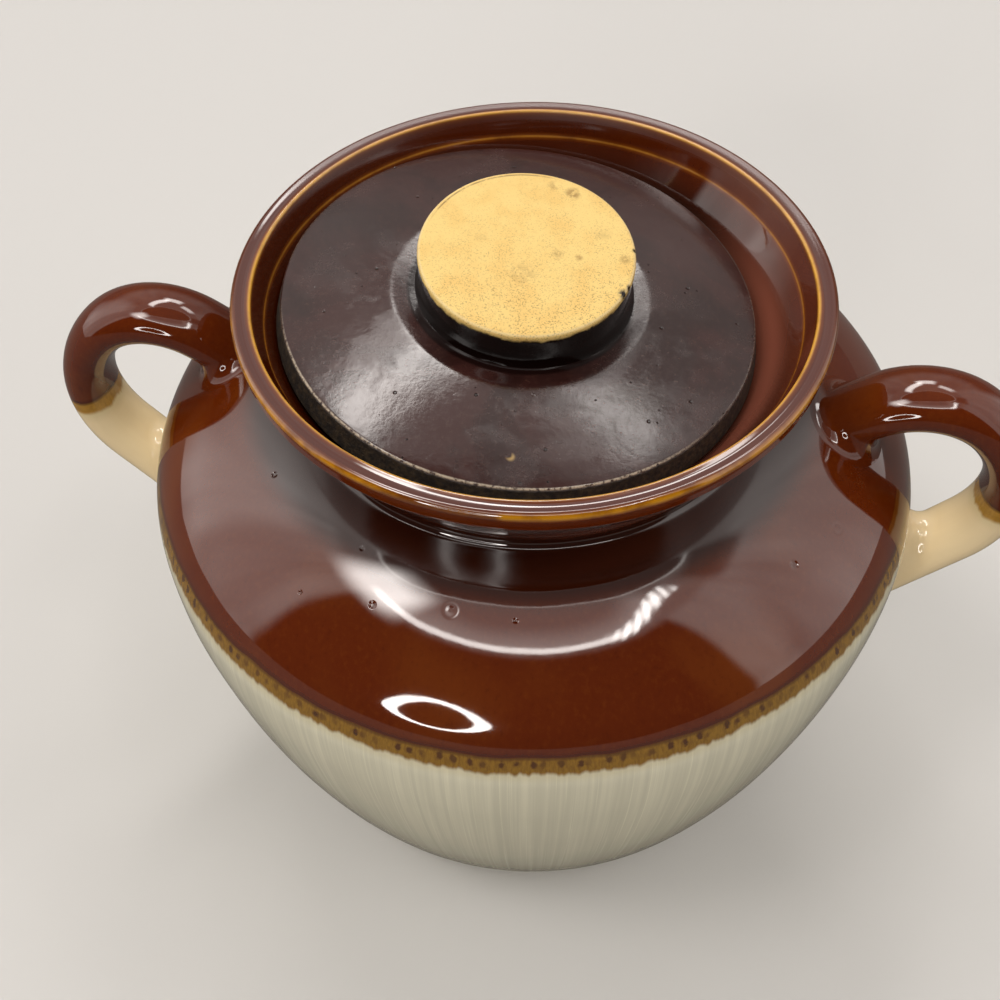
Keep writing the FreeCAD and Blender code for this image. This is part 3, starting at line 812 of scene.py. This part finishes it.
KNOB_STAINS = (                 # place on the flat top, reach and strength
    ((7.8, 19.9), 2.6, 0.75),
    ((7.3, 0.6), 2.0, 0.6),
    ((12.0, 0.3), 1.3, 0.6),
    ((0.2, -7.1), 4.5, 0.3),
    ((3.0, 21.5), 2.2, 0.45),
    ((22.5, 2.0), 1.8, 0.5),
    ((16.5, 9.0), 3.0, 0.25),
    ((-11.0, 2.0), 2.2, 0.25),
)
KNOB_NICKS = (                  # where the buff is nicked away at the edge: point and reach
    ((23.4, -8.2, 12.9), 1.8),
    ((24.4, -6.0, 12.6), 1.3),
    ((24.3, 5.2, 13.0), 0.9),
    ((22.6, -5.8, 13.4), 0.7),
)


def specked(n, at, buff):
    """Fine specks and larger freckles, dense at the front right and few at the back left."""
    dense = n.ramp(n.sub(n.mul(at.x, 0.6), at.y), *mm(-22, 26), 0.25, 1.0)
    dense = n.mul(dense, n.step(n.noise(at.here, 120, detail=3, rough=0.6), 0.3, 0.62, 0.45, 1.0))
    specks = n.rise(n.noise(at.here, 2900, rough=0.6), 0.55, 0.64)
    buff = n.mix(n.mul(specks, n.mul(dense, 0.75)), buff, KNOB_SPECK)
    freckles = n.dots(at.here, 520, 0.08, 0.20, chosen=(0.78, 0.84))
    return n.mix(n.mul(freckles, n.mul(dense, 0.35)), buff, KNOB_FRECKLE)


def stained(n, at, buff, smudge):
    """Brown smudges, and part of a turned line near the edge at the back left."""
    for place, reach, strength in KNOB_STAINS:
        stain = n.mul(n.spot(at.here, (*place, KNOB_HEIGHT), reach), n.rise(smudge, 0.38, 0.58))
        buff = n.mix(n.mul(stain, strength), buff, KNOB_STAIN)
    off_line = n.math("ABSOLUTE", n.sub(at.radius, KNOB_SCORE_RADIUS * MM))
    scored = n.mul(n.fall(off_line, *mm(0.08, 0.32)), n.rise(smudge, 0.3, 0.5))
    scored = n.mul(scored, n.patch(at.angle, 1.35, 1.7, 2.7, 3.0))
    return n.mix(n.mul(scored, 0.7), buff, KNOB_SCORE)


def knob_glaze():
    """Glossy black brown walls, and a flat top left bare: yellow buff, specked and stained."""
    made, n = material("knob_glaze")
    at = Place(n, KNOB_TURN, KNOB_FOOT)
    smudge = n.noise(at.here, 420, detail=4, rough=0.7)
    ragged = n.waver(n.noise(at.here, 230, detail=5, rough=0.65), 0.6 * MM)
    top = n.rise(n.add(at.z, ragged), *mm(KNOB_HEIGHT - 2.3, KNOB_HEIGHT - 1.2))
    for point, reach in KNOB_NICKS:
        nick = n.mul(n.spot(at.here, point, reach), n.rise(smudge, 0.35, 0.5))
        top = n.mul(top, n.sub(1.0, nick))

    tone = n.noise(at.here, 130, detail=4, rough=0.6)
    buff = n.mix(n.rise(tone, 0.38, 0.68, 0.7), KNOB_BUFF, KNOB_BUFF_DEEP)
    buff = stained(n, at, specked(n, at, buff), smudge)
    rim = n.near(at.radius, at.z, *mm(KNOB_RADIUS - 0.35, KNOB_HEIGHT - 0.3, 0.6))
    buff = n.mix(n.mul(rim, 0.4), buff, KNOB_RIM)
    wall = n.mix(n.noise(at.here, 200, detail=4), KNOB_WALL, KNOB_WALL_PALER)

    relief = n.mul(n.mul(n.noise(at.here, 1300, detail=3, rough=0.6), top), 0.03 * MM)
    n.surface(n.mix(top, wall, buff), n.ramp(top, 0.0, 1.0, 0.05, 0.6), n.bump(relief), KNOB_IOR)
    return made


dress(jar, pot_glaze("body_glaze", CREAM, OCHRE, BAND_WIDTH, 1.0, GLAZE_IOR), inside_glaze())
for side in ("left_handle", "right_handle"):
    glaze = pot_glaze(side + "_glaze", HANDLE_CREAM, HANDLE_OCHRE, HANDLE_BAND_WIDTH, 0.1, HANDLE_IOR)
    dress(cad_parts[side], glaze)
dress(lid, lid_glaze())
dress(knob, knob_glaze())


# ---- camera and floor ------------------------------------------------------------------------

VIEW_TURN = math.radians(10.45)     # the camera stands a little to the right of the front
VIEW_DOWN = math.radians(51.13)
VIEW_ROLL = math.radians(-1.18)
LENS_IN_PIXELS = 1360.3
PICTURE_PIXELS = 1000
# from the middle of the rim to the camera, along the camera's own axes
RIM_IN_VIEW = Vector((-7.76, -51.79, 318.90)) * MM

FLOOR_SEEN = (0.60, 0.595, 0.58)
FLOOR_MIRRORED = (0.16, 0.155, 0.148)
FLOOR_UNSEEN = (0.36, 0.35, 0.33)   # by the light that it sends on to the pot
FLOOR_REACH = 6.0


def photo_camera():
    data = bpy.data.cameras.new("photo_camera")
    data.sensor_width = 36.0
    data.lens = LENS_IN_PIXELS / PICTURE_PIXELS * data.sensor_width
    data.clip_start, data.clip_end = 0.01, 50
    camera = bpy.data.objects.new("photo_camera", data)
    bpy.context.scene.collection.objects.link(camera)
    turn = Matrix.Rotation(VIEW_TURN, 3, "Z") @ Matrix.Rotation(math.pi / 2 - VIEW_DOWN, 3, "X")
    turn = turn @ Matrix.Rotation(VIEW_ROLL, 3, "Z")
    rim_centre = Vector((0, 0, RIM_HEIGHT * MM))
    camera.matrix_world = Matrix.LocRotScale(rim_centre + turn @ RIM_IN_VIEW, turn, None)
    bpy.context.scene.camera = camera


def floor():
    data = bpy.data.meshes.new("floor")
    corners = [(FLOOR_REACH * x, FLOOR_REACH * y, 0) for x, y in ((-1, -1), (1, -1), (1, 1), (-1, 1))]
    data.from_pydata(corners, [], [(0, 1, 2, 3)])
    plane = bpy.data.objects.new("floor", data)
    bpy.context.scene.collection.objects.link(plane)
    made, n = material("pale_floor")
    rays = n.new("ShaderNodeLightPath").outputs
    unseen = n.mix(rays["Is Glossy Ray"], FLOOR_UNSEEN, FLOOR_MIRRORED)
    shader = n.new("ShaderNodeBsdfDiffuse")
    n.feed(shader.inputs["Color"], n.mix(rays["Is Camera Ray"], unseen, FLOOR_SEEN))
    n.finish("ShaderNodeOutputMaterial", shader)
    dress(plane, made)


# ---- light -----------------------------------------------------------------------------------
# Directions are degrees: azimuth 0 is straight behind the pot as the camera sees it, 90 is right.

LIGHT_COLOR = (1.0, 0.95, 0.91)
BACKDROP = (0.86, 0.86, 0.85)       # what the camera sees above the floor
LIGHT_LEVEL = 0.70
DARK_LEVEL = 0.05
WALL_LEVEL = 1.27
MOUTH_EDGE_LEVEL = 2.6
MOUTH_LEVEL = 0.22
HOOP_LEVEL = 22.0

WALL_AZIMUTHS = (-107, -103, 124, 127)  # each set of four marks: outer, inner, inner, outer
WALL_TOP = (55, 59)                     # where the walls end and the ceiling begins
BACK_AZIMUTHS = (-62, -48, 48, 62)      # the walls are dimmer here, most of all low down
SHADE_AZIMUTHS = (72, 80, 95, 104)      # a dimmer patch high up at the right
SHADE_ELEVATIONS = (52, 56, 63, 67)
MOUTH = (0.0, -0.05, 0.45, 0.245)       # opening in the ceiling: its middle and half sizes
STRIP_ELEVATION = 59.2                  # the strip of light between wall and ceiling
STRIP_DARK_AZIMUTHS = (-112, -100, 108, 122)    # it shines only outside these, at the front
BEADED_AZIMUTHS = (104, 110, 140, 152)
BEAD_PITCH = 5.6
HOOP_AZIMUTH = -154.5                   # a lamp like a hoop: its middle and half sizes
HOOP_ELEVATION = 21.5
HOOP_NARROWING = 0.82
HOOP_INNER = (8.1, 9.7)
HOOP_OUTER = (11.5, 11.3)


def oval(n, u, v, at_u, at_v, half_u, half_v):
    """Below 1 inside an oval of the plane of u and v."""
    return n.length(n.mul(n.sub(u, at_u), 1 / half_u), n.mul(n.sub(v, at_v), 1 / half_v))


def view_directions(n):
    """The direction in the camera's turn, as x, y and z, and as azimuth and elevation."""
    turn = n.new("ShaderNodeVectorRotate", rotation_type="Z_AXIS")
    n.feed(turn.inputs["Vector"], n.new("ShaderNodeTexCoord").outputs["Generated"])
    n.feed(turn.inputs["Angle"], -VIEW_TURN)
    x, y, z = n.split(turn.outputs[0])
    azimuth = n.mul(n.math("ARCTAN2", x, y), 180 / math.pi)
    elevation = n.mul(n.math("ARCSINE", z), 180 / math.pi)
    return x, y, z, azimuth, elevation


def tent(n):
    """Pale folded walls, an open dark front, and a ceiling with an oval mouth."""
    x, y, z, azimuth, elevation = view_directions(n)
    folds = n.noise(n.join(n.mul(azimuth, 0.06), n.mul(elevation, 0.015), 0.0), 1.0, distort=0.4)
    wall = n.mul(n.patch(azimuth, *WALL_AZIMUTHS), n.fall(elevation, *WALL_TOP))
    wall = n.mul(wall, n.ramp(folds, 0.3, 0.7, 0.75, 1.4))
    dimmed = n.mul(n.patch(azimuth, *BACK_AZIMUTHS), n.fall(elevation, 14, 34, 0.90, 0.33))
    wall = n.mul(wall, n.sub(1.0, dimmed))
    up = n.most(z, 0.01)
    aside, ahead = n.math("DIVIDE", x, up), n.math("DIVIDE", n.mul(y, -1.0), up)
    mouth = oval(n, aside, ahead, *MOUTH)
    ceiling = n.mul(n.rise(elevation, *WALL_TOP), n.rise(mouth, 0.99, 1.01))
    level = n.add(DARK_LEVEL, n.add(n.mul(wall, WALL_LEVEL), ceiling))
    shade = n.mul(n.patch(azimuth, *SHADE_AZIMUTHS), n.patch(elevation, *SHADE_ELEVATIONS))
    level = n.mul(level, n.sub(1.0, n.mul(shade, 0.65)))
    level = n.add(level, n.mul(n.patch(mouth, 0.98, 1.0, 1.01, 1.04), MOUTH_EDGE_LEVEL))
    return n.add(level, n.fall(mouth, 0.99, 1.01, MOUTH_LEVEL))


def lamps(n):
    """The lamps in the tent, each with its strength."""
    _, _, _, azimuth, elevation = view_directions(n)

    def lamp(azimuths, elevations, tilt=0.0):
        """A soft-edged patch of light, which tilts where its height changes with the azimuth."""
        height = n.add(elevation, n.mul(azimuth, tilt)) if tilt else elevation
        return n.mul(n.patch(azimuth, *azimuths), n.patch(height, *elevations))

    # the strip shines at the front alone, and stands higher at the right
    front = n.sub(1.0, n.patch(azimuth, *STRIP_DARK_AZIMUTHS))
    climb = n.mul(n.fall(azimuth, 112, 146, 5.5), n.rise(azimuth, 90, 100))
    strip = n.sub(elevation, n.add(climb, STRIP_ELEVATION))
    twist = n.add(azimuth, n.mul(elevation, 1.6))
    beads = n.step(n.math("SINE", n.mul(twist, math.tau / BEAD_PITCH)), -0.6, 0.6, 0.2, 1.0)
    beaded = n.mul(n.patch(azimuth, *BEADED_AZIMUTHS), n.mul(n.patch(strip, -2.6, -1.4, 1.8, 3.0), beads))
    return (
        (n.mul(n.patch(strip, -1.5, -0.5, 0.6, 2.0), front), 10.0),         # the strip
        (n.mul(n.patch(strip, -0.6, 0.0, 0.0, 12.0), front), 1.7),          # the glow above it
        (lamp((-128, -112, -98, -82), (51, 59, 64, 73)), 13.0),             # left
        (beaded, 15.0),                                                     # right, towards the front
        (lamp((-44, -32, -2, 7), (50, 53.5, 57.5, 61), tilt=0.3), 16.5),    # behind, to the left
        (lamp((25, 31, 46, 58), (54, 57, 60, 63)), 10.0),                   # behind, to the right
        (lamp((-6, 2, 16, 24), (46, 49, 54, 57)), 13.0),                    # straight behind, lower
        (lamp((-80, -72, -50, -40), (-5, 10, 42, 55)), 0.9),                # broad and pale, back left
    )


def hoop_lamp(n):
    """A lamp like a hoop, in front of the pot and to its left."""
    _, _, _, azimuth, elevation = view_directions(n)
    across = n.mul(n.sub(azimuth, HOOP_AZIMUTH), HOOP_NARROWING)
    up = n.sub(elevation, HOOP_ELEVATION)
    outside = n.rise(oval(n, across, up, 0.0, 0.0, *HOOP_INNER), 0.98, 1.02)
    return n.mul(outside, n.fall(oval(n, across, up, 0.0, 0.0, *HOOP_OUTER), 0.98, 1.02))


def studio():
    """The world: a white light tent with its lamps, and a plain backdrop for the camera."""
    world = bpy.data.worlds.new("studio")
    bpy.context.scene.world = world
    world.use_nodes = True
    n = Nodes(world.node_tree)
    level = tent(n)
    for lamp, strength in lamps(n):
        level = n.add(level, n.mul(lamp, strength))
    level = n.add(level, n.mul(hoop_lamp(n), HOOP_LEVEL))
    seen = n.new("ShaderNodeLightPath").outputs["Is Camera Ray"]
    light = n.new("ShaderNodeBackground")
    n.feed(light.inputs["Color"], n.mix(seen, LIGHT_COLOR, BACKDROP))
    n.feed(light.inputs["Strength"], n.add(n.mul(n.mul(level, LIGHT_LEVEL), n.sub(1.0, seen)), seen))
    n.finish("ShaderNodeOutputWorld", light)


photo_camera()
floor()
studio()
bpy.context.scene.view_settings.view_transform = "Standard"
